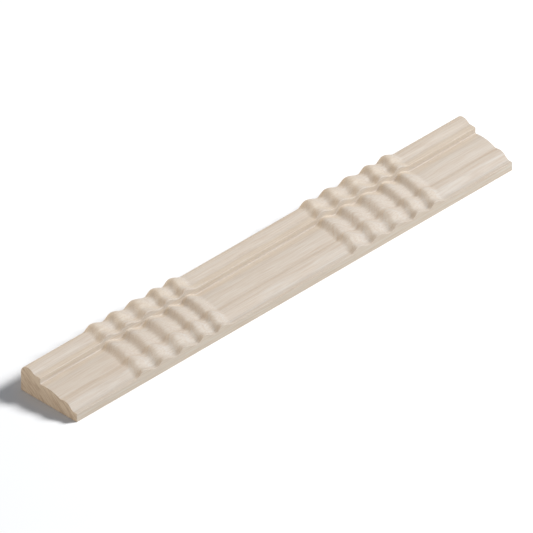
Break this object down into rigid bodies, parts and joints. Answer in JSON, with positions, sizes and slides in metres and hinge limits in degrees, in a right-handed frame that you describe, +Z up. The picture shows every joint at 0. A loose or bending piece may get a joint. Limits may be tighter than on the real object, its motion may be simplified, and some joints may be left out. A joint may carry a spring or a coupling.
{
  "type": "ripple moulding",
  "caption": "Straight length of pale hardwood moulding with a stepped section, a bead along the back and groups of waved ripples",
  "frame": {"origin": "centre of the flat base, halfway along the length and halfway across the width", "axes": "+X along the length, towards the end with the longer plain run; +Y across the width, from the thin front edge to the bead along the back; +Z up, away from the flat base"},
  "size_m": [0.5, 0.0642, 0.0297],
  "materials": {
    "pale_hardwood": "scraped smooth, no coating"
  },
  "bodies": {
    "root": {"ripple_moulding": "pale_hardwood"}
  },
  "joints": []
}
